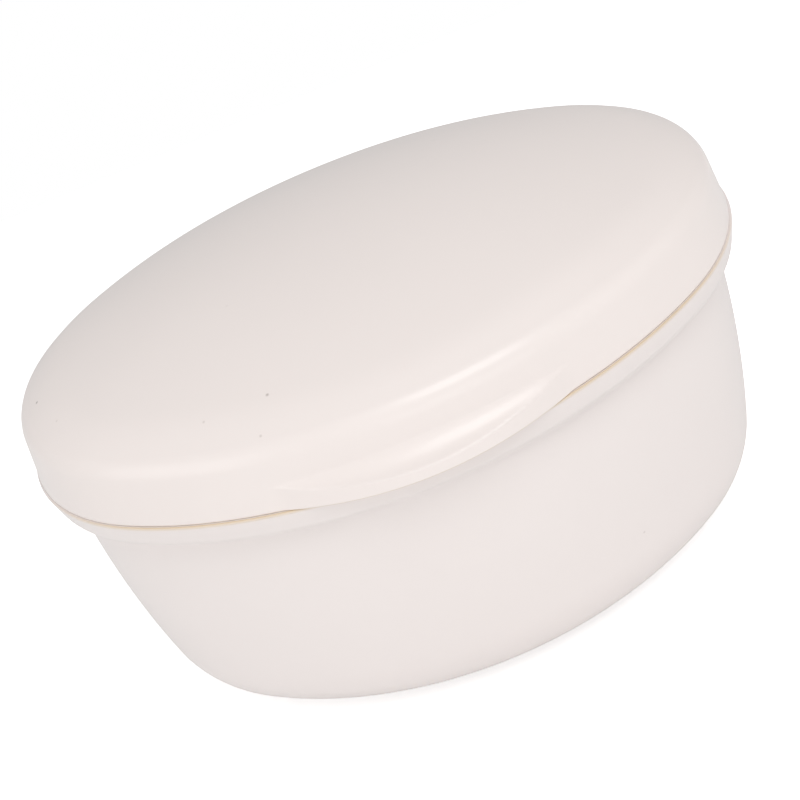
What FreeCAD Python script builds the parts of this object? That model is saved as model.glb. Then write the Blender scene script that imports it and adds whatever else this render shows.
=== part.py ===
import FreeCAD, Part
import math
import os

# Covered soap dish, closed, in millimetres. +Z is up and +X runs along its length. The thumb lip is at
# the front, towards -Y. The origin is the middle of the flat face that the dish stands on.

# Oval plan, measured at the lid's lower edge: two end arcs joined by two long side arcs
half_length = 60.0
half_width = 46.0
end_radius = 38.0

# Dish
rim_height = 52.0            # from the table to the top of the rim, where the lid sits
rim_overhang = 0.4           # how far the rim's edge stands out past the lid's edge
rim_width = 2.9              # flat top of the rim
band_height = 5.5            # from the top of the rim down to the neck
band_edge_height = 4.3       # from the top of the rim down to the band's lower edge
band_taper = 1.1             # how far the band leans in from its top to its lower edge
neck_inset = 3.4             # how far the neck lies inside the lid's edge
neck_round = 2.0
dish_wall = 2.2
belly_radius = 160.0         # the wall's gentle curve, seen in section
bottom_radius = 17.5         # the big round between the wall and the flat underside
rebate_depth = 2.8           # step inside the rim that takes the lid's plug

# Lid
lid_wall = 2.0
skirt_height = 9.7           # to the corner where the shoulder starts, before it is rounded
skirt_lean = 1.25            # how far the skirt leans in over its height
shoulder_width = 5.3         # slope between the skirt and the dome, seen from above
shoulder_rise = 3.3
dome_rise = 7.45
skirt_round = 4.2            # between skirt and shoulder
crest_round = 20.0           # between shoulder and dome
level_slack = 0.1            # an edge that climbs less than this share of its length counts as level
dome_headroom = 1.5          # how far the forms that the lid is cut from reach above its top
plug_clearance = 0.3         # between the plug and the dish, all round
plug_wall = 1.6
plug_floor_gap = 0.4         # between the plug's lower edge and the step that it hangs over
plug_foot_height = 2.4       # thick foot of the skirt that carries the plug
plug_root = 0.5              # how deep the foot and the plug grow into the skirt

# Thumb lip
lip_reach = 3.2              # how far it stands out of the skirt in the middle
lip_half_span = 24.5
lip_height = 6.2             # top of the flare in the middle
lip_edge = 1.9               # upright edge under the flare in the middle
lip_tip_height = 4.4         # where the flare runs out at its two ends
lip_edge_round = 0.4
lip_root = 0.35              # how deep the flare starts under the skirt's surface
lip_hollow = 0.75            # how much of its way in the flare has gone half way up
lip_stations = 4             # sections from the middle to each end

# Drain tray
tray_height = 8.0            # underside of the tray above the dish's floor
tray_plate = 2.0
tray_side_gap = 1.0          # between the tray's rim and the dish's wall
tray_rim_height = 4.5
tray_rim_wall = 1.6
slot_width = 3.4
slot_pitch = 9.0
slot_margin = 4.5            # from the tray's rim to the ends of the slots
shortest_slot = 7.0
spine_width = 7.0            # bridge between the front and back rows of slots
rib_width = 1.6
rib_height = 1.2
foot_diameter = 6.0
foot_taper = 1.0             # how much narrower a foot is at the floor
foot_spread_x = 19.0
foot_spread_y = 9.5

edge_bevel = 0.5             # broken edges of the rim's mouth, the plug and the tray
seam_round = 0.3             # outer edges of the rim and of the lid, which leave a groove between them

UP = FreeCAD.Vector(0, 0, 1)

# Centres and radii of the four arcs, from the rule that neighbours share a tangent where they meet
end_centre = half_length - end_radius
side_radius = (end_centre**2 + half_width**2 - end_radius**2) / (2 * (half_width - end_radius))
side_centre = side_radius - half_width
meeting_angle = math.atan2(side_centre, end_centre)
end_sweep = 2 * meeting_angle
side_sweep = math.pi - end_sweep
ARCS = [
    (FreeCAD.Vector(end_centre, 0, 0), end_radius, -meeting_angle, end_sweep),
    (FreeCAD.Vector(0, -side_centre, 0), side_radius, meeting_angle, side_sweep),
    (FreeCAD.Vector(-end_centre, 0, 0), end_radius, math.pi - meeting_angle, end_sweep),
    (FreeCAD.Vector(0, side_centre, 0), side_radius, math.pi + meeting_angle, side_sweep),
]


def oval(inset, height):
    """The oval plan, drawn inset from the lid's edge at a height."""
    edges = []
    for centre, radius, start, sweep in ARCS:
        circle = Part.Circle(centre + UP * height, UP, radius - inset)
        edges.append(Part.ArcOfCircle(circle, start, start + sweep).toShape())
    return Part.Wire(edges)


def oval_plate(inset, low, high):
    """A flat oval slab between two heights."""
    return Part.Face(oval(inset, low)).extrude(UP * (high - low))


def spot(inset, height):
    """A point of a section. Sections are drawn in the XZ plane, outwards along +X."""
    return FreeCAD.Vector(-inset, 0, height)


def outline(corners):
    """Lines through (inset, height, radius) corners. A corner whose radius is 0 stays sharp."""
    edges = []
    last = spot(*corners[0][:2])
    for before, corner, after in zip(corners, corners[1:], corners[2:]):
        point = spot(*corner[:2])
        radius = corner[2]
        if radius == 0:
            edges.append(Part.LineSegment(last, point).toShape())
            last = point
            continue
        back = (spot(*before[:2]) - point).normalize()
        ahead = (spot(*after[:2]) - point).normalize()
        half_angle = back.getAngle(ahead) / 2
        start = point + back * (radius / math.tan(half_angle))
        middle = point + (back + ahead).normalize() * (radius / math.sin(half_angle) - radius)
        end = point + ahead * (radius / math.tan(half_angle))
        edges.append(Part.LineSegment(last, start).toShape())
        edges.append(Part.Arc(start, middle, end).toShape())
        last = end
    edges.append(Part.LineSegment(last, spot(*corners[-1][:2])).toShape())
    return edges


def section_arc(centre, radius, start, end):
    """An arc of a section, with its angles in degrees from the outward direction."""
    points = []
    for angle in (start, (start + end) / 2, end):
        turn = math.radians(angle)
        points.append(centre + FreeCAD.Vector(math.cos(turn), 0, math.sin(turn)) * radius)
    return Part.Arc(*points).toShape()


def moulding(edges):
    """Carry a closed section round the four arcs of the oval."""
    section = Part.Face(Part.Wire(Part.__sortEdges__(edges)))
    sectors = []
    for centre, radius, start, sweep in ARCS:
        sector = section.copy()
        sector.translate(FreeCAD.Vector(radius, 0, 0))
        sector.rotate(FreeCAD.Vector(0, 0, 0), UP, math.degrees(start))
        sector.translate(centre)
        sectors.append(sector.revolve(centre, UP, math.degrees(sweep)))
    return sectors[0].multiFuse(sectors[1:]).removeSplitter()


# The dish's wall in section: a long belly arc that leaves the neck upright, then the bottom round
neck_height = rim_height - band_height - neck_round
belly_centre = spot(neck_inset + belly_radius, neck_height)
belly_turn = math.degrees(math.asin((neck_height - bottom_radius) / (belly_radius - bottom_radius)))
belly_run = (belly_radius - bottom_radius) * math.cos(math.radians(belly_turn))
foot_inset = neck_inset + belly_radius - belly_run
bottom_centre = spot(foot_inset, bottom_radius)


def wall_inset(height, depth):
    """Inset of the dish's wall at a height, at a depth under its outer face."""
    if height > bottom_radius - (bottom_radius - depth) * math.sin(math.radians(belly_turn)):
        reach = math.sqrt((belly_radius - depth) ** 2 - (neck_height - height) ** 2)
        return -belly_centre.x - reach
    reach = math.sqrt((bottom_radius - depth) ** 2 - (bottom_radius - height) ** 2)
    return -bottom_centre.x - reach


def make_base():
    """The dish: rim with a step for the plug, band, neck, belly wall, bottom round and flat floor."""
    walls = []
    for depth in (0, dish_wall):
        walls.append(section_arc(belly_centre, belly_radius - depth, 0, -belly_turn))
        walls.append(section_arc(bottom_centre, bottom_radius - depth, -belly_turn, -90))
    mouth_inset = rim_width - rim_overhang
    inside = neck_inset + dish_wall
    rim = outline([
        (inside, neck_height, 0),
        (inside, rim_height - rebate_depth, 0),
        (mouth_inset, rim_height - rebate_depth, 0),
        (mouth_inset, rim_height - edge_bevel, 0),
        (mouth_inset - edge_bevel, rim_height, 0),
        (-rim_overhang, rim_height, seam_round),
        (band_taper - rim_overhang, rim_height - band_edge_height, neck_round),
        (neck_inset, rim_height - band_height, neck_round),
        (neck_inset, neck_height, 0),
    ])
    foot = Part.LineSegment(spot(foot_inset, 0), spot(foot_inset, dish_wall)).toShape()
    shell = moulding(rim + walls + [foot])
    return shell.fuse(oval_plate(foot_inset, 0, dish_wall)).removeSplitter()


def level_edges(form):
    """The edges that run round a form, and not up it: they rise far less than they are long."""
    return [edge for edge in form.Edges if edge.BoundBox.ZLength < edge.Length * level_slack]


def lid_form(depth):
    """The lid as a solid form at a depth under its outer face.

    It is what a leaning skirt, a sloping shoulder and a dome have in common, with both corners rounded.
    """
    clear_of_dome = skirt_height + shoulder_rise + dome_rise + dome_headroom
    lean = skirt_lean / skirt_height
    skirt = Part.makeLoft([
        oval(depth * math.hypot(1, lean), rim_height),
        oval(depth * math.hypot(1, lean) + lean * clear_of_dome, rim_height + clear_of_dome),
    ], True, True)
    slope = shoulder_width / shoulder_rise
    shoulder_inset = skirt_lean + depth * math.hypot(1, slope) - slope * skirt_height
    shoulder = Part.makeLoft([
        oval(shoulder_inset, rim_height),
        oval(shoulder_inset + slope * clear_of_dome, rim_height + clear_of_dome),
    ], True, True)
    crest_length = half_length - skirt_lean - shoulder_width
    crest_width = half_width - skirt_lean - shoulder_width
    dome_radius = (crest_length**2 + dome_rise**2) / (2 * dome_rise)
    ball = Part.makeSphere(dome_radius - depth, FreeCAD.Vector(0, 0, 0), FreeCAD.Vector(1, 0, 0))
    ball.rotate(FreeCAD.Vector(0, 0, 0), FreeCAD.Vector(1, 0, 0), 180)
    narrowing = FreeCAD.Matrix()
    narrowing.scale(FreeCAD.Vector(1, crest_width / crest_length, 1))
    dome = ball.transformGeometry(narrowing)
    dome.translate(UP * (rim_height + skirt_height + shoulder_rise + dome_rise - dome_radius))
    form = skirt.common(shoulder).common(dome)
    middle = rim_height + skirt_height + shoulder_rise / 2 - depth
    corner = [edge for edge in level_edges(form) if rim_height < edge.BoundBox.ZMin < middle]
    form = form.makeFillet(skirt_round - depth, corner)
    crest = [edge for edge in level_edges(form) if edge.BoundBox.ZMin > middle]
    return form.makeFillet(crest_round - depth, crest)


def lip_section(share):
    """A section of the thumb lip, at a share of the way from its middle to its end."""
    reach = (lip_reach + lip_root) * math.cos(share * math.pi / 2) - lip_root
    edge_top = lip_edge + (lip_tip_height - lip_edge) * share**2
    flare_top = lip_height + (lip_tip_height + lip_edge - lip_height) * share**2
    lean = skirt_lean / skirt_height
    middle_of_wall = lid_wall / 2
    start = spot(lean * edge_top - reach, edge_top)
    end = spot(lean * flare_top + lip_root, flare_top)
    half_way_up = spot(-start.x + (start.x - end.x) * lip_hollow, (start.z + end.z) / 2)
    edges = [
        Part.LineSegment(spot(middle_of_wall, 0), spot(lip_edge_round - reach, 0)).toShape(),
        section_arc(spot(lip_edge_round - reach, lip_edge_round), lip_edge_round, -90, 0),
        Part.LineSegment(spot(-reach, lip_edge_round), start).toShape(),
        Part.Arc(start, half_way_up, end).toShape(),
        Part.LineSegment(end, spot(middle_of_wall, flare_top)).toShape(),
        Part.LineSegment(spot(middle_of_wall, flare_top), spot(middle_of_wall, 0)).toShape(),
    ]
    section = Part.Wire(edges)
    section.translate(FreeCAD.Vector(side_radius, 0, rim_height))
    section.rotate(FreeCAD.Vector(0, 0, 0), UP, math.degrees(share * lip_half_span / side_radius) - 90)
    section.translate(FreeCAD.Vector(0, side_centre, 0))
    return section


def make_lid():
    """The cover: domed shell, plug inside its edge, and the thumb lip that flares out at the front."""
    outside = lid_form(0)
    lower_edge = [edge for edge in outside.Edges if edge.BoundBox.ZMax < rim_height + seam_round]
    shell = outside.makeFillet(seam_round, lower_edge).cut(lid_form(lid_wall))
    plug_inset = rim_width - rim_overhang + plug_clearance
    plug_inner = plug_inset + plug_wall
    plug_low = rim_height - rebate_depth + plug_floor_gap
    foot_outer = lid_wall - plug_root
    foot_top = rim_height + plug_foot_height
    plug = moulding(outline([
        (foot_outer, foot_top, 0),
        (foot_outer, rim_height, 0),
        (plug_inset, rim_height, 0),
        (plug_inset, plug_low + edge_bevel, 0),
        (plug_inset + edge_bevel, plug_low, 0),
        (plug_inner, plug_low, 0),
        (plug_inner, foot_top, 0),
        (foot_outer, foot_top, 0),
    ]))
    sections = [lip_section(step / lip_stations) for step in range(-lip_stations, lip_stations + 1)]
    lip = Part.makeLoft(sections, True, False)
    return shell.fuse(plug).fuse(lip).removeSplitter()


def plan_reach(x, inset):
    """Half width of the oval plan at x, at an inset."""
    if abs(x) < end_centre * (side_radius - inset) / (side_radius - end_radius):
        return math.sqrt((side_radius - inset) ** 2 - x**2) - side_centre
    return math.sqrt((end_radius - inset) ** 2 - (abs(x) - end_centre) ** 2)


def capsule(x, near, far, width, low, high):
    """An upright solid with round ends that runs along Y at x."""
    radius = width / 2
    corner = FreeCAD.Vector(x - radius, near + radius, low)
    block = Part.makeBox(width, far - near - width, high - low, corner)
    ends = [
        Part.makeCylinder(radius, high - low, FreeCAD.Vector(x, y, low))
        for y in (near + radius, far - radius)
    ]
    return block.multiFuse(ends).removeSplitter()


def make_drain_tray():
    """The loose tray: oval plate with a low rim, slots between ribs, and feet on the dish's floor."""
    low = dish_wall + tray_height
    high = low + tray_plate
    rim_top = low + tray_rim_height
    edge = wall_inset(low, dish_wall) + tray_side_gap
    inside = edge + tray_rim_wall
    rim = moulding(outline([
        (inside, low, 0),
        (inside, rim_top, 0),
        (edge + edge_bevel, rim_top, 0),
        (edge, rim_top - edge_bevel, 0),
        (edge, low + edge_bevel, 0),
        (edge + edge_bevel, low, 0),
        (inside, low, 0),
    ]))
    plate = oval_plate(inside, low, high)
    field = inside + slot_margin
    columns = int((half_length - field - slot_width) / slot_pitch)
    slots = []
    for column in range(-columns, columns + 1):
        x = column * slot_pitch
        far = plan_reach(x, field)
        for near_y, far_y in ((spine_width / 2, far), (-far, -spine_width / 2)):
            if far_y - near_y > shortest_slot:
                slots.append(capsule(x, near_y, far_y, slot_width, low, high))
    ribs = []
    for column in range(-columns, columns):
        x = (column + 0.5) * slot_pitch
        far = plan_reach(x, field)
        ribs.append(capsule(x, -far, far, rib_width, high - tray_plate / 2, high + rib_height))
    feet = [
        Part.makeCone(
            (foot_diameter - foot_taper) / 2,
            foot_diameter / 2,
            tray_height,
            FreeCAD.Vector(x, y, dish_wall),
        )
        for x in (-foot_spread_x, foot_spread_x)
        for y in (-foot_spread_y, foot_spread_y)
    ]
    return rim.multiFuse([plate] + ribs + feet).cut(slots).removeSplitter()


os.makedirs("parts", exist_ok=True)
NODES = {
    "base": make_base,
    "lid": make_lid,
    "drain_tray": make_drain_tray,
}
for name, make in NODES.items():
    (piece,) = make().Solids
    print(name, "valid" if piece.isValid() else "broken", round(piece.Volume / 1000, 1), "cm3")
    piece.exportStep("parts/" + name + ".step")
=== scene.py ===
# %% [markdown]
# A covered soap dish in ivory plastic: a deep oval dish, a domed lid with a thumb lip, and a slotted
# tray inside. The script dresses a finished frame of plain solids. It never moves them: it hides
# the two that show and puts smoother pieces of the same size in their place.

# %% Load the frame
import math

import bmesh
import bpy
from mathutils import Matrix, Vector


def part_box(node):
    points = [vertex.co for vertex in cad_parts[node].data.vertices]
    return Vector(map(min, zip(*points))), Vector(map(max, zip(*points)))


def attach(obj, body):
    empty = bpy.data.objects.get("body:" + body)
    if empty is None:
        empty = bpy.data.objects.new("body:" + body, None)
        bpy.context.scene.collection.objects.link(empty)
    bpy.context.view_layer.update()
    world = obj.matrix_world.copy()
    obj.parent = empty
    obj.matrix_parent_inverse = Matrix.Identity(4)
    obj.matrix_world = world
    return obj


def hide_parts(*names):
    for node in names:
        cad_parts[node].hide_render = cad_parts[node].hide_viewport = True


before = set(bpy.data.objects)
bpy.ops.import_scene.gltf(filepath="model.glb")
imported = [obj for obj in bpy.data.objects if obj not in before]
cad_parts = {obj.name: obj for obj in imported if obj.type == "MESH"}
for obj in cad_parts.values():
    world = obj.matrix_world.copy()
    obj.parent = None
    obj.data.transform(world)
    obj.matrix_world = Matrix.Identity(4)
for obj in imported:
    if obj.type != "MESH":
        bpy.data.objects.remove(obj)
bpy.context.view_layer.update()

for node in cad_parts:
    low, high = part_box(node)
    print(node, [round(1000 * (b - a), 1) for a, b in zip(low, high)], "mm")

# %% [markdown]
# Moulded ware is drawn from few sizes. Seen from above the lid's edge is an oval of four arcs: two
# tight ones at the ends and two long ones at the sides, which share a tangent where they meet. An
# ellipse would look much the same, but arcs can be followed exactly: a wall that is set in from the
# edge is four arcs again, round the same centres.

# %% Sizes of the oval
mm = 0.001
half_length = 60.0 * mm
half_width = 46.0 * mm
end_radius = 38.0 * mm

end_centre = half_length - end_radius
side_radius = (end_centre**2 + half_width**2 - end_radius**2) / (2 * (half_width - end_radius))
side_centre = side_radius - half_width
meeting_angle = math.atan2(side_centre, end_centre)
side_sweep = math.pi - 2 * meeting_angle
print("long arcs:", round(side_radius / mm, 1), "mm over", round(math.degrees(side_sweep)), "degrees")

# %% [markdown]
# A section is a cut through the wall, drawn as a wire of vertices in the XZ plane at the dish's right
# tip. Lines come from extruding a single vertex, arcs from spinning it, and a corner is rounded
# with a vertex bevel, just as in edit mode. Every size in a section is an inset from the lid's edge
# and a height above the table.

# %% Tools for drawing a section
def spot(inset, height):
    """A point of a section at the right tip."""
    return Vector((half_length - inset, 0, height))


def line(section, start, inset, height, pieces=1):
    """Draw a straight line on from a vertex and give back its far end."""
    begin = start.co.copy()
    for piece in range(1, pieces + 1):
        start = bmesh.ops.extrude_vert_indiv(section, verts=[start])["verts"][0]
        start.co = begin.lerp(spot(inset, height), piece / pieces)
    return start


def arc(section, start, inset, height, turn, pieces):
    """Draw an arc on from a vertex about a centre, counterclockwise for a positive turn."""
    made = bmesh.ops.spin(
        section, geom=[start], cent=spot(inset, height), axis=(0, -1, 0), angle=turn, steps=pieces
    )
    return [item for item in made["geom_last"] if isinstance(item, bmesh.types.BMVert)][0]


def soften(section, corner, radius, pieces):
    """Round one corner of a section."""
    ahead, back = [(edge.other_vert(corner).co - corner.co) for edge in corner.link_edges]
    bmesh.ops.bevel(
        section,
        geom=[corner],
        offset=radius / math.tan(ahead.angle(back) / 2),
        offset_type="OFFSET",
        segments=pieces,
        profile=0.5,
        affect="VERTICES",
        material=-1,
    )


# %% [markdown]
# To carry a section round the oval it is spun about the centre of each arc in turn, each time from
# where the last spin left it. It starts in the middle of the right end, so that end is spun in two
# halves. One merge closes the ring. The number of steps keeps the quads about as long as the value
# below, which is fine enough for a glossy surface to show no corners.

# %% Carry a section round the oval
quad_length = 1.2 * mm
merge_distance = quad_length / 100
ROUTE = [
    (Vector((end_centre, 0, 0)), end_radius, meeting_angle),
    (Vector((0, -side_centre, 0)), side_radius, side_sweep),
    (Vector((-end_centre, 0, 0)), end_radius, 2 * meeting_angle),
    (Vector((0, side_centre, 0)), side_radius, side_sweep),
    (Vector((end_centre, 0, 0)), end_radius, meeting_angle),
]
print("way round the edge:", round(sum(radius * turn for _, radius, turn in ROUTE) / mm), "mm")


def carry_round(section):
    """Turn a section's wire into a ring of quads that follows the oval."""
    moving = section.verts[:] + section.edges[:]
    for centre, radius, turn in ROUTE:
        steps = 2 * round(radius * turn / quad_length / 2)
        moving = bmesh.ops.spin(
            section, geom=moving, cent=centre, axis=(0, 0, 1), angle=turn, steps=steps
        )["geom_last"]
    bmesh.ops.remove_doubles(section, verts=section.verts, dist=merge_distance)


def finish_piece(shape, name, body, node):
    """Write a closed shape to an object that stands for one solid of the frame."""
    bmesh.ops.recalc_face_normals(shape, faces=shape.faces)
    for face in shape.faces:
        face.smooth = True
    mesh = bpy.data.meshes.new(name)
    shape.to_mesh(mesh)
    open_edges = sum(edge.is_boundary for edge in shape.edges)
    shape.free()
    piece = bpy.data.objects.new(name, mesh)
    bpy.context.scene.collection.objects.link(piece)
    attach(piece, body)
    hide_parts(node)
    print(name, len(mesh.polygons), "faces,", open_edges, "open edges")
    return piece


# %% [markdown]
# The dish is one moulding. Its section starts at the flat floor inside, climbs the inner wall,
# crosses the rim with the step that the lid's plug drops into, and comes down outside: band, neck,
# a belly that is almost straight, and a big round into the flat underside.

# %% Sizes of the dish
rim_height = 52.0 * mm
rim_overhang = 0.4 * mm
rim_width = 2.9 * mm
band_height = 5.5 * mm
band_edge_height = 4.3 * mm
band_taper = 1.1 * mm
neck_inset = 3.4 * mm
neck_round = 2.0 * mm
dish_wall = 2.2 * mm
belly_radius = 160 * mm
bottom_radius = 17.5 * mm
rebate_depth = 2.8 * mm
seam_round = 0.3 * mm
mouth_round = 0.4 * mm

neck_height = rim_height - band_height - neck_round
belly_inset = neck_inset + belly_radius
belly_turn = math.asin((neck_height - bottom_radius) / (belly_radius - bottom_radius))
foot_inset = belly_inset - (belly_radius - bottom_radius) * math.cos(belly_turn)
bottom_turn = math.pi / 2 - belly_turn
print("half length of the flat foot:", round((half_length - foot_inset) / mm, 1), "mm")

# %% [markdown]
# An arc gets as many pieces as its bend needs: few along the belly, many round the bottom. What is
# seen from outside gets more than what is inside, and the edges that catch the light get eight.

# %% Build the dish
inner_bottom_pieces = 14
inner_belly_pieces = 10
outer_belly_pieces = 14
outer_bottom_pieces = 22
corner_pieces = 4
bright_edge_pieces = 8

dish = bmesh.new()
end = dish.verts.new(spot(foot_inset, dish_wall))
end = arc(dish, end, foot_inset, bottom_radius, bottom_turn, inner_bottom_pieces)
end = arc(dish, end, belly_inset, neck_height, belly_turn, inner_belly_pieces)
step_outer = line(dish, end, neck_inset + dish_wall, rim_height - rebate_depth)
mouth_inset = rim_width - rim_overhang
step_inner = line(dish, step_outer, mouth_inset, rim_height - rebate_depth)
mouth = line(dish, step_inner, mouth_inset, rim_height)
rim_edge = line(dish, mouth, -rim_overhang, rim_height)
band_edge = line(dish, rim_edge, band_taper - rim_overhang, rim_height - band_edge_height)
neck = line(dish, band_edge, neck_inset, rim_height - band_height)
end = line(dish, neck, neck_inset, neck_height)
end = arc(dish, end, belly_inset, neck_height, -belly_turn, outer_belly_pieces)
end = arc(dish, end, foot_inset, bottom_radius, -bottom_turn, outer_bottom_pieces)
for corner, radius, pieces in (
    (step_outer, mouth_round, corner_pieces),
    (step_inner, mouth_round, corner_pieces),
    (mouth, mouth_round, corner_pieces),
    (rim_edge, seam_round, bright_edge_pieces),
    (band_edge, neck_round, bright_edge_pieces),
    (neck, neck_round, bright_edge_pieces),
):
    soften(dish, corner, radius, pieces)
carry_round(dish)
bmesh.ops.holes_fill(dish, edges=[edge for edge in dish.edges if edge.is_boundary], sides=0)
dish_piece = finish_piece(dish, "dish_shell", "dish", "base")

# %% [markdown]
# The lid's skirt bends in over a tight round to a sloping shoulder, and the shoulder runs over a
# wide round into the dome, which is part of a ball, drawn narrower across than along. The skirt,
# the shoulder and the tight round follow the oval exactly. The ball meets them at a slightly
# different height all the way round, so the wide round and the dome are worked out anew at each
# station of the oval.

# %% Sizes of the lid
lid_wall = 2.0 * mm
skirt_height = 9.7 * mm
skirt_lean = 1.25 * mm
shoulder_width = 5.3 * mm
shoulder_rise = 3.3 * mm
dome_rise = 7.45 * mm
skirt_round = 4.2 * mm
crest_round = 20.0 * mm
plug_clearance = 0.3 * mm
plug_wall = 1.6 * mm
plug_floor_gap = 0.4 * mm
plug_foot_height = 2.4 * mm

lean = skirt_lean / skirt_height
slope = shoulder_width / shoulder_rise
crest_length = half_length - skirt_lean - shoulder_width
narrowing = (half_width - skirt_lean - shoulder_width) / crest_length
ball_radius = (crest_length**2 + dome_rise**2) / (2 * dome_rise)
ball_centre = rim_height + skirt_height + shoulder_rise + dome_rise - ball_radius
print("ball of the dome: radius", round(ball_radius / mm, 1), "mm, narrowed to", round(narrowing, 3))


def dome_height(x, y, depth):
    """Height of the dome over a point of the plan, at a depth under its outer face."""
    return ball_centre + math.sqrt((ball_radius - depth) ** 2 - x**2 - (y / narrowing) ** 2)


def station(point):
    """The point of the lid's edge that lies nearest, and the direction inwards from there."""
    if math.atan2(abs(point.y), abs(point.x) - end_centre) < meeting_angle:
        centre, radius = Vector((math.copysign(end_centre, point.x), 0)), end_radius
    else:
        centre, radius = Vector((0, -math.copysign(side_centre, point.y))), side_radius
    outward = (point.xy - centre).normalized()
    return centre + outward * radius, -outward


def crest_circle(edge, inward, depth):
    """Inset and height of the wide round's centre at a station, and the angles that it runs between."""
    radius = crest_round - depth
    slant = math.hypot(1, slope)
    nudge = 0.01 * mm
    halvings = 40

    def touch(inset):
        """The circle that touches the dome at an inset: its centre, and its play to the shoulder."""
        here = edge + inward * inset
        there = here + inward * nudge
        height = dome_height(here.x, here.y, depth)
        climb = (dome_height(there.x, there.y, depth) - height) / nudge
        along = math.hypot(1, climb)
        centre = (inset + radius * climb / along, height - radius / along)
        play = centre[0] - skirt_lean - slope * (centre[1] - rim_height - skirt_height)
        return centre, climb, play / slant - depth - radius

    near, far = skirt_lean, half_width / 2
    for _ in range(halvings):
        middle = (near + far) / 2
        near, far = (near, middle) if touch(middle)[2] > 0 else (middle, far)
    centre, climb, play = touch(near)
    return centre, math.atan(slope), math.pi / 2 - math.atan(climb)


def crest_point(edge, inward, depth, share):
    """A point of the wide round, from the shoulder at share 0 to the dome at share 1."""
    centre, low_angle, high_angle = crest_circle(edge, inward, depth)
    angle = low_angle + share * (high_angle - low_angle)
    radius = crest_round - depth
    plan = edge + inward * (centre[0] - radius * math.cos(angle))
    return Vector((plan.x, plan.y, centre[1] + radius * math.sin(angle)))


# %% [markdown]
# The lid's section is drawn from the edge of the dome down the outside, under the edge, round the
# plug and up the inside. Two number layers on the vertices remember which part of the wide round
# a vertex belongs to, so that it can be settled after the spin, when it is known at which station
# it has come to lie.

# %% Draw the lid's section
plug_inset = mouth_inset + plug_clearance
plug_inner = plug_inset + plug_wall
plug_low = rim_height - rebate_depth + plug_floor_gap
foot_top = rim_height + plug_foot_height
skirt_pieces = 44
inner_skirt_pieces = 4
bend_pieces = 14
shoulder_pieces = 3
crest_pieces = 12
edge_margin = 0.5 * mm

lid = bmesh.new()
on_crest = lid.verts.layers.float.new("share of the wide round, plus 1")
crest_depth = lid.verts.layers.float.new("depth under the outer face")
tip, tip_inward = station(Vector((half_length, 0, 0)))
crest_vertices = []


def draw_crest(start, depth, shares):
    """Draw the wide round on from a vertex, through a row of shares."""
    for share in shares:
        point = crest_point(tip, tip_inward, depth, share)
        start = line(lid, start, half_length - point.x, point.z)
        crest_vertices.append((start, depth, share))
    return start


def skirt_corner(depth):
    """Inset and height of the corner between skirt and shoulder, at a depth under the outer face."""
    skirt_shift = depth * math.hypot(1, lean)
    shoulder_shift = skirt_lean - slope * skirt_height + depth * math.hypot(1, slope)
    height = (skirt_shift - shoulder_shift) / (slope - lean)
    return skirt_shift + lean * height, rim_height + height


def bend_ends(depth):
    """The two points where the tight round leaves the skirt and reaches the shoulder."""
    inset, height = skirt_corner(depth)
    turn = math.atan(slope) - math.atan(lean)
    reach = (skirt_round - depth) * math.tan(turn / 2)
    low = (inset - reach * lean / math.hypot(1, lean), height - reach / math.hypot(1, lean))
    high = (inset + reach * slope / math.hypot(1, slope), height + reach / math.hypot(1, slope))
    radius = (skirt_round - depth) / math.hypot(1, lean)
    centre = (low[0] + radius, low[1] - radius * lean)
    return low, high, centre, turn


shares = [piece / crest_pieces for piece in range(crest_pieces + 1)]
low, high, bend_centre, bend_turn = bend_ends(0)
end = lid.verts.new(crest_point(tip, tip_inward, 0, 1))
crest_vertices.append((end, 0, 1))
end = draw_crest(end, 0, shares[-2::-1])
end = line(lid, end, *high, shoulder_pieces)
end = arc(lid, end, *bend_centre, -bend_turn, bend_pieces)
end = line(lid, end, lean * edge_margin, rim_height + edge_margin, skirt_pieces)
lid_edge = line(lid, end, 0, rim_height)
under_edge = line(lid, lid_edge, plug_inset, rim_height)
plug_outer = line(lid, under_edge, plug_inset, plug_low)
plug_heel = line(lid, plug_outer, plug_inner, plug_low)
foot_inner = line(lid, plug_heel, plug_inner, foot_top)
root = line(lid, foot_inner, lid_wall * math.hypot(1, lean) + lean * plug_foot_height, foot_top)
low, high, bend_centre, bend_turn = bend_ends(lid_wall)
end = line(lid, root, *low, inner_skirt_pieces)
end = arc(lid, end, *bend_centre, bend_turn, bend_pieces // 2)
draw_crest(end, lid_wall, shares)
for corner, radius, pieces in (
    (lid_edge, seam_round, bright_edge_pieces),
    (plug_outer, mouth_round, corner_pieces),
    (plug_heel, mouth_round, corner_pieces),
    (foot_inner, mouth_round, corner_pieces),
    (root, mouth_round, corner_pieces),
):
    soften(lid, corner, radius, pieces)
for vertex, depth, share in crest_vertices:
    vertex[on_crest] = 1 + share
    vertex[crest_depth] = depth
carry_round(lid)
print("lid ring:", len(lid.verts), "vertices")

# %% [markdown]
# Now the crest is settled. Then both mouths of the ring, outer and inner, are closed by a dome: the
# mouth's loop of edges is extruded and scaled towards the middle, ring after ring, and each new
# vertex is set on the ball. The last ring is merged to a point.

# %% Settle the crest and close the dome
for vertex in lid.verts:
    if vertex[on_crest] >= 1:
        edge, inward = station(vertex.co)
        vertex.co = crest_point(edge, inward, vertex[crest_depth], vertex[on_crest] - 1)

dome_rings = 26


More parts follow.
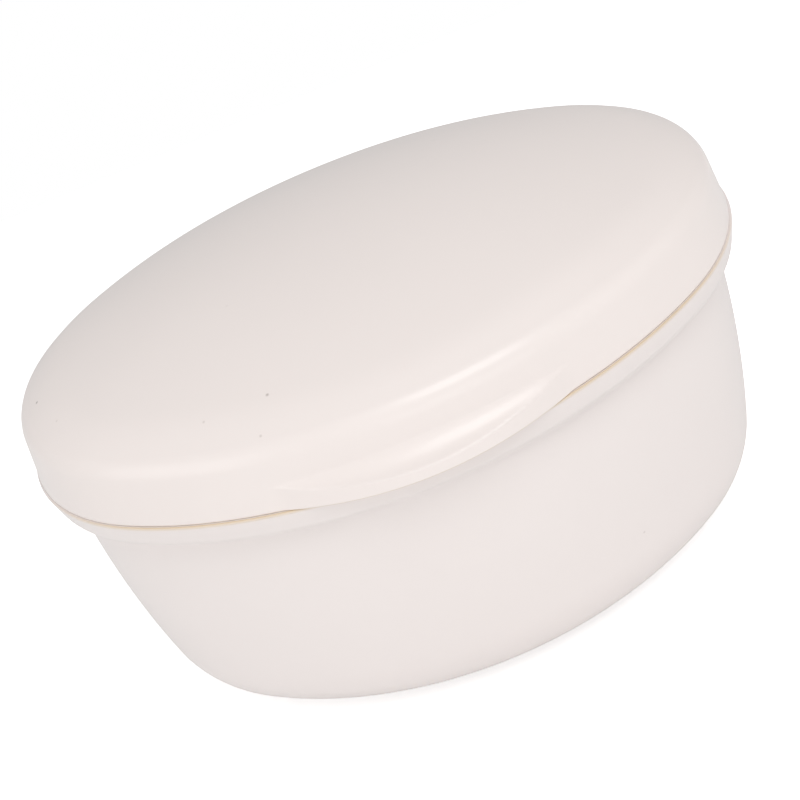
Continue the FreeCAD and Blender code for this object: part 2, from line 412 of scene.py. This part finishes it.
def close_dome(loop, depth):
    """Close a mouth of the lid with rings that lie on the ball."""
    for ring in range(1, dome_rings):
        made = bmesh.ops.extrude_edge_only(lid, edges=loop)["geom"]
        fresh = [item for item in made if isinstance(item, bmesh.types.BMVert)]
        edges = [item for item in made if isinstance(item, bmesh.types.BMEdge)]
        loop = [edge for edge in edges if set(fresh).issuperset(edge.verts)]
        shrink = (dome_rings - ring) / (dome_rings - ring + 1)
        bmesh.ops.scale(lid, vec=(shrink, shrink, 1), verts=fresh)
        for vertex in fresh:
            vertex.co.z = dome_height(vertex.co.x, vertex.co.y, depth)
            vertex[on_crest] = 0
    bmesh.ops.pointmerge(lid, verts=fresh, merge_co=(0, 0, dome_height(0, 0, depth)))


mouths = [edge for edge in lid.edges if edge.is_boundary]
for depth in (0, lid_wall):
    nearer = [edge for edge in mouths if abs(edge.verts[0][crest_depth] - depth) < lid_wall / 2]
    close_dome(nearer, depth)
print("lid closed:", len(lid.verts), "vertices")

# %% [markdown]
# The thumb lip is a lean crescent that flares out of the skirt at the front. The skirt's quads are
# less than 0.2 mm high, so the lip can be drawn out of them like clay: each vertex is pushed
# outwards by what the lip's own section says at its height and at its share of the lip's length.
# Below the flare stands a short upright edge, and above it a hollow arc runs back into the skirt.

# %% Draw out the thumb lip
lip_reach = 3.2 * mm
lip_half_span = 24.5 * mm
lip_height = 6.2 * mm
lip_edge = 1.9 * mm
lip_tip_height = 4.4 * mm
lip_root = 0.35 * mm
lip_hollow = 0.75
seam_slack = 0.01 * mm


def lip_push(share, height):
    """How far the lip stands out of the skirt, at a share of its half length and at a height."""
    reach = (lip_reach + lip_root) * math.cos(share * math.pi / 2) - lip_root
    edge_top = lip_edge + (lip_tip_height - lip_edge) * share**2
    flare_top = lip_height + (lip_tip_height + lip_edge - lip_height) * share**2
    if height <= edge_top:
        return max(reach, 0)
    if height >= flare_top:
        return 0
    start = Vector((lean * edge_top - reach, edge_top))
    stop = Vector((lean * flare_top + lip_root, flare_top))
    hollow = Vector((start.x + (stop.x - start.x) * lip_hollow, (start.y + stop.y) / 2))
    chord = stop - start
    bulge = abs(chord.cross(hollow - start)) / chord.length
    along = (hollow - start).dot(chord) / chord.length
    offset = (along * (chord.length - along) - bulge**2) / (2 * bulge)
    away = Vector((-chord.y, chord.x)).normalized()
    centre = start + chord / 2 + away * offset
    radius = (start - centre).length
    inset = centre.x + math.sqrt(radius**2 - (height - centre.y) ** 2)
    return max(lean * height - inset, 0)


pushed = 0
for vertex in lid.verts:
    height = vertex.co.z - rim_height
    if vertex.co.y > 0 or not -seam_slack < height < lip_height:
        continue
    share = math.atan2(vertex.co.x, side_centre - vertex.co.y) * side_radius / lip_half_span
    edge, inward = station(vertex.co)
    if abs(share) < 1 and (vertex.co.xy - edge).length < lid_wall / 2:
        vertex.co -= (inward * lip_push(share, height)).to_3d()
        pushed += 1
print("lip drawn from", pushed, "vertices")
lid_piece = finish_piece(lid, "lid_shell", "cover", "lid")

# %% [markdown]
# Injection-moulded plastic isn't one flat colour. Close up it has a faint cloudiness and a skin that
# is almost, but not quite, smooth. Both come from noise in the object's own coordinates, so the
# pattern stays on the piece when it moves. They are built once, as a node group with named
# sockets, and each plastic sets its own amounts.

# %% Node group: moulded skin
def add_group(name, inputs, outputs):
    """Make a shader node group with named sockets."""
    group = bpy.data.node_groups.new(name, "ShaderNodeTree")
    for direction, sockets in (("INPUT", inputs), ("OUTPUT", outputs)):
        for socket_name, kind, value in sockets:
            socket = group.interface.new_socket(socket_name, in_out=direction, socket_type=kind)
            if value is not None:
                socket.default_value = value
    return group, group.nodes.new("NodeGroupInput"), group.nodes.new("NodeGroupOutput")


def add_math(tree, operation, first, second, clamp=False):
    """Add a math node fed by two sockets or numbers."""
    node = tree.nodes.new("ShaderNodeMath")
    node.operation = operation
    node.use_clamp = clamp
    for socket, value in zip(node.inputs, (first, second)):
        if isinstance(value, bpy.types.NodeSocket):
            tree.links.new(value, socket)
        else:
            socket.default_value = value
    return node.outputs[0]


def add_noise(tree, place, scale, detail):
    """Add a noise texture on given coordinates."""
    noise = tree.nodes.new("ShaderNodeTexNoise")
    noise.inputs["Scale"].default_value = scale
    noise.inputs["Detail"].default_value = detail
    tree.links.new(place, noise.inputs["Vector"])
    return noise.outputs["Fac"]


skin, skin_in, skin_out = add_group(
    "moulded skin",
    [
        ("Colour", "NodeSocketColor", (0.8, 0.8, 0.8, 1)),
        ("Cloud", "NodeSocketFloat", 0.03),
        ("Roughness", "NodeSocketFloat", 0.3),
        ("Roughness spread", "NodeSocketFloat", 0.05),
    ],
    [
        ("Colour", "NodeSocketColor", None),
        ("Roughness", "NodeSocketFloat", None),
        ("Height", "NodeSocketFloat", None),
    ],
)
place = skin.nodes.new("ShaderNodeTexCoord").outputs["Object"]
cloud = add_noise(skin, place, scale=38, detail=3)
smear = add_noise(skin, place, scale=110, detail=4)
orange_peel = add_noise(skin, place, scale=900, detail=2)
swing = add_math(skin, "SUBTRACT", cloud, 0.5)
lightness = add_math(skin, "MULTIPLY", swing, skin_in.outputs["Cloud"])
tone = skin.nodes.new("ShaderNodeHueSaturation")
skin.links.new(skin_in.outputs["Colour"], tone.inputs["Color"])
skin.links.new(add_math(skin, "ADD", lightness, 1.0), tone.inputs["Value"])
skin.links.new(tone.outputs["Color"], skin_out.inputs["Colour"])
swing = add_math(skin, "SUBTRACT", smear, 0.5)
spread = add_math(skin, "MULTIPLY", swing, skin_in.outputs["Roughness spread"])
uneven = add_math(skin, "ADD", skin_in.outputs["Roughness"], spread, clamp=True)
skin.links.new(uneven, skin_out.inputs["Roughness"])
skin.links.new(orange_peel, skin_out.inputs["Height"])
print(skin.name, "has", len(skin.nodes), "nodes")

# %% [markdown]
# Where lid and rim meet, light is caught in a narrow groove and comes back warm and dimmer, and that
# shade is painted into the colour as a tan line. A mask on the height above the table paints it: full
# at the seam and gone within a millimetre. The painted shade is strongest at the front and dies away
# round the ends, so a second mask on the depth from front to back fades it there. The rim's flat top
# and the lid's underside lie at the same height, pressed together, so a third mask leaves out what
# faces straight up or down: it reads how far the surface's normal points along Z, where 1 is level.

# %% Node group: painted seam shade
# Painted shade: the seam line is the groove's shade and warm bounced light, painted into the colour.
seam_shade_falloff = 1.5
almost_level = 0.985
quite_level = 0.9995
seam_shade, seam_shade_in, seam_shade_out = add_group(
    "painted seam shade",
    [
        ("Colour", "NodeSocketColor", (0.8, 0.8, 0.8, 1)),
        ("Shade tint", "NodeSocketColor", (0.6, 0.4, 0.2, 1)),
        ("Seam height", "NodeSocketFloat", rim_height),
        ("Reach", "NodeSocketFloat", mm),
        ("Fade start", "NodeSocketFloat", -32 * mm),
        ("Fade end", "NodeSocketFloat", -10 * mm),
    ],
    [("Colour", "NodeSocketColor", None)],
)
split = seam_shade.nodes.new("ShaderNodeSeparateXYZ")
seam_shade.links.new(seam_shade.nodes.new("ShaderNodeTexCoord").outputs["Object"], split.inputs["Vector"])
above = add_math(seam_shade, "SUBTRACT", split.outputs["Z"], seam_shade_in.outputs["Seam height"])
distance = add_math(seam_shade, "ABSOLUTE", above, 0)
distance = add_math(seam_shade, "DIVIDE", distance, seam_shade_in.outputs["Reach"])
nearness = add_math(seam_shade, "SUBTRACT", 1.0, distance, clamp=True)
nearness = add_math(seam_shade, "POWER", nearness, seam_shade_falloff)
fade = seam_shade.nodes.new("ShaderNodeMapRange")
seam_shade.links.new(split.outputs["Y"], fade.inputs["Value"])
seam_shade.links.new(seam_shade_in.outputs["Fade start"], fade.inputs["From Min"])
seam_shade.links.new(seam_shade_in.outputs["Fade end"], fade.inputs["From Max"])
fade.inputs["To Min"].default_value = 1
fade.inputs["To Max"].default_value = 0
amount = add_math(seam_shade, "MULTIPLY", nearness, fade.outputs["Result"])
facing = seam_shade.nodes.new("ShaderNodeSeparateXYZ")
seam_shade.links.new(seam_shade.nodes.new("ShaderNodeTexCoord").outputs["Normal"], facing.inputs["Vector"])
flat = seam_shade.nodes.new("ShaderNodeMapRange")
seam_shade.links.new(add_math(seam_shade, "ABSOLUTE", facing.outputs["Z"], 0), flat.inputs["Value"])
flat.inputs["From Min"].default_value = almost_level
flat.inputs["From Max"].default_value = quite_level
flat.inputs["To Min"].default_value = 1
flat.inputs["To Max"].default_value = 0
amount = add_math(seam_shade, "MULTIPLY", amount, flat.outputs["Result"])
blend = seam_shade.nodes.new("ShaderNodeMix")
blend.data_type = "RGBA"
seam_shade.links.new(amount, blend.inputs["Factor"])
seam_shade.links.new(seam_shade_in.outputs["Colour"], blend.inputs["A"])
seam_shade.links.new(seam_shade_in.outputs["Shade tint"], blend.inputs["B"])
seam_shade.links.new(blend.outputs["Result"], seam_shade_out.inputs["Colour"])
print(seam_shade.name, "has", len(seam_shade.nodes), "nodes")

# %% [markdown]
# A few specks of dust and tiny pits are moulded into the real plastic. Each one is a small soft dot at
# a chosen point: a group measures the distance to that point and darkens what lies inside.

# %% Node group: speck
speck_brown = (0.16, 0.10, 0.07, 1)
speck, speck_in, speck_out = add_group(
    "speck",
    [
        ("Colour", "NodeSocketColor", (0.8, 0.8, 0.8, 1)),
        ("Place", "NodeSocketVector", None),
        ("Radius", "NodeSocketFloat", 0.3 * mm),
        ("Strength", "NodeSocketFloat", 0.5),
    ],
    [("Colour", "NodeSocketColor", None)],
)
apart = speck.nodes.new("ShaderNodeVectorMath")
apart.operation = "DISTANCE"
speck.links.new(speck.nodes.new("ShaderNodeTexCoord").outputs["Object"], apart.inputs[0])
speck.links.new(speck_in.outputs["Place"], apart.inputs[1])
closeness = add_math(speck, "DIVIDE", apart.outputs["Value"], speck_in.outputs["Radius"])
dot = add_math(speck, "SUBTRACT", 1.0, closeness, clamp=True)
shade = speck.nodes.new("ShaderNodeMix")
shade.data_type = "RGBA"
shade.inputs["B"].default_value = speck_brown
amount = add_math(speck, "MULTIPLY", dot, speck_in.outputs["Strength"], clamp=True)
speck.links.new(amount, shade.inputs["Factor"])
speck.links.new(speck_in.outputs["Colour"], shade.inputs["A"])
speck.links.new(shade.outputs["Result"], speck_out.inputs["Colour"])
print(speck.name, "has", len(speck.nodes), "nodes")

# %% [markdown]
# A screen shows a colour as three levels from 0 to 255, which climb along a curve. A shader takes
# the amount of light itself, so each level is first brought back from that curve.

# %% Colours from screen levels
full_level = 255
dark_end = 0.04045
dark_slope = 12.92
curve_offset = 0.055
curve_power = 2.4


def light_of(level):
    """The amount of light behind one level of a screen."""
    share = level / full_level
    if share <= dark_end:
        return share / dark_slope
    return ((share + curve_offset) / (1 + curve_offset)) ** curve_power


def colour(red, green, blue):
    """A shader's colour from three screen levels."""
    return light_of(red), light_of(green), light_of(blue), 1


print("half of a screen's scale is", round(light_of(full_level / 2), 3), "of its light")

# %% [markdown]
# The plastic itself is one Principled BSDF: a pale colour under a clear, fairly sharp gloss. The groups
# feed its colour, its roughness and the height of a faint bump, and everything that is the same all
# over is set on the shader's own sockets.

# %% The plastics
def plastic(name, tint, seam_shade_tint, seam_shade_reach, roughness, specks):
    """An ivory plastic with a cloudy skin, painted shade along the seam and a few specks."""
    material = bpy.data.materials.new(name)
    material.use_nodes = True
    tree = material.node_tree
    shader = tree.nodes["Principled BSDF"]
    shader.inputs["IOR"].default_value = 1.46
    shader.inputs["Coat Weight"].default_value = 0.15
    shader.inputs["Coat Roughness"].default_value = 0.12

    skin_node = tree.nodes.new("ShaderNodeGroup")
    skin_node.node_tree = skin
    skin_node.inputs["Colour"].default_value = tint
    skin_node.inputs["Roughness"].default_value = roughness
    # The seam group paints the groove's shade into the plastic's colour.
    seam_shade_node = tree.nodes.new("ShaderNodeGroup")
    seam_shade_node.node_tree = seam_shade
    seam_shade_node.inputs["Shade tint"].default_value = seam_shade_tint
    seam_shade_node.inputs["Reach"].default_value = seam_shade_reach
    tree.links.new(skin_node.outputs["Colour"], seam_shade_node.inputs["Colour"])
    latest = seam_shade_node.outputs["Colour"]
    for point, radius, strength in specks:
        speck_node = tree.nodes.new("ShaderNodeGroup")
        speck_node.node_tree = speck
        speck_node.inputs["Place"].default_value = point
        speck_node.inputs["Radius"].default_value = radius
        speck_node.inputs["Strength"].default_value = strength
        tree.links.new(latest, speck_node.inputs["Colour"])
        latest = speck_node.outputs["Colour"]
    tree.links.new(latest, shader.inputs["Base Color"])
    tree.links.new(skin_node.outputs["Roughness"], shader.inputs["Roughness"])

    bump = tree.nodes.new("ShaderNodeBump")
    bump.inputs["Strength"].default_value = 0.03
    bump.inputs["Distance"].default_value = 0.05 * mm
    tree.links.new(skin_node.outputs["Height"], bump.inputs["Height"])
    tree.links.new(bump.outputs["Normal"], shader.inputs["Normal"])
    return material


def speck_at(x, y, z, radius, strength):
    """A speck, by its place and radius in millimetres and how dark it is, from 0 to 1."""
    return (x * mm, y * mm, z * mm), radius * mm, strength


lid_specks = [
    speck_at(-54.4, -3.6, 64.1, 0.36, 1.0),
    speck_at(-18.3, -34.0, 66.0, 0.36, 0.6),
    speck_at(-28.4, -32.5, 65.1, 0.32, 0.25),
    speck_at(-21.2, -39.1, 63.1, 0.32, 0.3),
    speck_at(-51.1, -13.0, 64.5, 0.28, 0.25),
    speck_at(-20.0, -11.6, 70.8, 0.35, 0.1),
    speck_at(20.8, 19.5, 69.5, 0.45, 0.1),
]
dish_specks = [speck_at(26.1, -35.1, 18.3, 0.32, 0.25)]
# Tan of the shade and warm bounced light painted along the seam groove.
seam_shade_tan = colour(216, 194, 164)
ivory_lid = plastic(
    "ivory lid",
    colour(236, 227, 223),
    seam_shade_tan,
    seam_shade_reach=0.3 * mm,
    roughness=0.3,
    specks=lid_specks,
)
ivory_dish = plastic(
    "ivory dish",
    colour(235, 227, 224),
    seam_shade_tan,
    seam_shade_reach=0.7 * mm,
    roughness=0.34,
    specks=dish_specks,
)
ivory_tray = plastic(
    "ivory tray",
    colour(240, 231, 224),
    seam_shade_tan,
    seam_shade_reach=0.01 * mm,
    roughness=0.4,
    specks=[],
)
lid_piece.data.materials.append(ivory_lid)
dish_piece.data.materials.append(ivory_dish)
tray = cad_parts["drain_tray"]
tray.data.materials.clear()
tray.data.materials.append(ivory_tray)
print("plastics:", ivory_lid.name, ivory_dish.name, ivory_tray.name)

# %% [markdown]
# The dish stands on a plain pale floor. To the camera the floor looks white, as a sheet of paper
# does that a studio lamp reaches evenly, but it still takes the dish's soft shadow: its own diffuse
# shade is kept, and light of its own is added for camera rays alone. The sheet reaches far out to
# the front and the sides, but ends 25 cm behind the dish's middle. With more of it there the lid's
# far edge, which mirrors what lies behind it, came out too bright.

# %% The floor
floor_mesh = bmesh.new()
half_sheet = 3.0
behind_dish = 0.25
paper_grey = 0.93
camera_glow = 0.5
bmesh.ops.create_grid(floor_mesh, x_segments=1, y_segments=1, size=half_sheet)
bmesh.ops.translate(floor_mesh, vec=(0, behind_dish - half_sheet, 0), verts=floor_mesh.verts)
mesh = bpy.data.meshes.new("floor")
floor_mesh.to_mesh(mesh)
floor_mesh.free()
floor = bpy.data.objects.new("floor", mesh)
bpy.context.scene.collection.objects.link(floor)
paper = bpy.data.materials.new("white paper")
paper.use_nodes = True
paper_shader = paper.node_tree.nodes["Principled BSDF"]
paper_shader.inputs["Base Color"].default_value = (paper_grey, paper_grey, paper_grey, 1)
paper_shader.inputs["Roughness"].default_value = 0.9
paper_shader.inputs["Specular IOR Level"].default_value = 0
paper_shader.inputs["Emission Color"].default_value = (1, 1, 1, 1)
camera_ray = paper.node_tree.nodes.new("ShaderNodeLightPath").outputs["Is Camera Ray"]
glow = add_math(paper.node_tree, "MULTIPLY", camera_ray, camera_glow)
paper.node_tree.links.new(glow, paper_shader.inputs["Emission Strength"])
mesh.materials.append(paper)
print("floor:", [round(side, 2) for side in floor.dimensions.xy], "m")

# %% [markdown]
# The light is that of a product photograph: a bright room all round, a soft box high in front, which
# draws the streak along the lid's crest, and three larger, weaker ones. Two of them stand to the
# sides and keep the wall as bright at its ends as in the middle. The third lies low in front and
# takes the darkness out of the groove under the band. Each is given by the direction that it comes
# from, its side in metres and its power in watts. The room is a little darker behind the dish, which
# the lid's far edge mirrors.

# %% The light
lamp_distance = 1.1
lit_point = Vector((0, 0, 40 * mm))


def soft_box(name, direction, size, power):
    """A square area lamp that looks at the dish's middle from a direction."""
    lamp = bpy.data.lights.new(name, "AREA")
    lamp.size = size
    lamp.energy = power
    box = bpy.data.objects.new(name, lamp)
    toward = Vector(direction).normalized()
    turned = toward.to_track_quat("Z", "Y").to_matrix().to_4x4()
    box.matrix_world = Matrix.Translation(lit_point + toward * lamp_distance) @ turned
    bpy.context.scene.collection.objects.link(box)
    return box


soft_box("key", direction=(0.19, -0.52, 0.83), size=0.5, power=3.0)
soft_box("right fill", direction=(0.85, -0.45, 0.30), size=0.8, power=0.7)
soft_box("left fill", direction=(-0.85, -0.45, 0.25), size=0.8, power=2.0)
soft_box("low fill", direction=(0.20, -0.97, 0.03), size=0.8, power=1.7)

room_light = 0.68
darker_behind = 0.12

studio = bpy.data.worlds.new("studio")
bpy.context.scene.world = studio
studio.use_nodes = True
room = studio.node_tree
direction = room.nodes.new("ShaderNodeSeparateXYZ")
room.links.new(room.nodes.new("ShaderNodeTexCoord").outputs["Generated"], direction.inputs["Vector"])
behind = add_math(room, "MAXIMUM", direction.outputs["Y"], 0.0)
strength = add_math(room, "SUBTRACT", room_light, add_math(room, "MULTIPLY", behind, darker_behind))
seen = room.nodes.new("ShaderNodeLightPath").outputs["Is Camera Ray"]
sky = room.nodes["Background"]
sky.inputs["Color"].default_value = (1, 1, 1, 1)
room.links.new(add_math(room, "MAXIMUM", strength, seen), sky.inputs["Strength"])

# %% [markdown]
# The camera was found by matching the outline and the seam: a long lens from a short way off, 30
# degrees above the table and tipped to one side, as if the dish stood on a slope.

# %% The camera
camera_elevation = math.radians(30.42)
camera_azimuth = math.radians(0.30)
camera_roll = math.radians(-22.81)
camera_distance = 300.8 * mm
camera_target = Vector((-1.24 * mm, 0, 36.79 * mm))
film_width = 36
focal_length = 80.65
nearest_seen = 10 * mm
farthest_seen = 20

lens = bpy.data.cameras.new("camera")
lens.sensor_width = film_width
lens.lens = focal_length
camera = bpy.data.objects.new("camera", lens)
bpy.context.scene.collection.objects.link(camera)
back = Vector((
    math.sin(camera_azimuth) * math.cos(camera_elevation),
    -math.cos(camera_azimuth) * math.cos(camera_elevation),
    math.sin(camera_elevation),
))
level_right = Vector((0, 0, 1)).cross(back).normalized()
level_up = back.cross(level_right)
right = math.cos(camera_roll) * level_right + math.sin(camera_roll) * level_up
up = -math.sin(camera_roll) * level_right + math.cos(camera_roll) * level_up
turned = Matrix((right, up, back)).transposed().to_4x4()
camera.matrix_world = Matrix.Translation(camera_target + back * camera_distance) @ turned
lens.clip_start = nearest_seen
lens.clip_end = farthest_seen
bpy.context.scene.camera = camera
print("camera at", [round(part / mm) for part in camera.matrix_world.translation], "mm")

# %% [markdown]
# Colours should show as they were mixed, so the view transform is Standard.

# %% Finish
bpy.context.scene.view_settings.view_transform = "Standard"
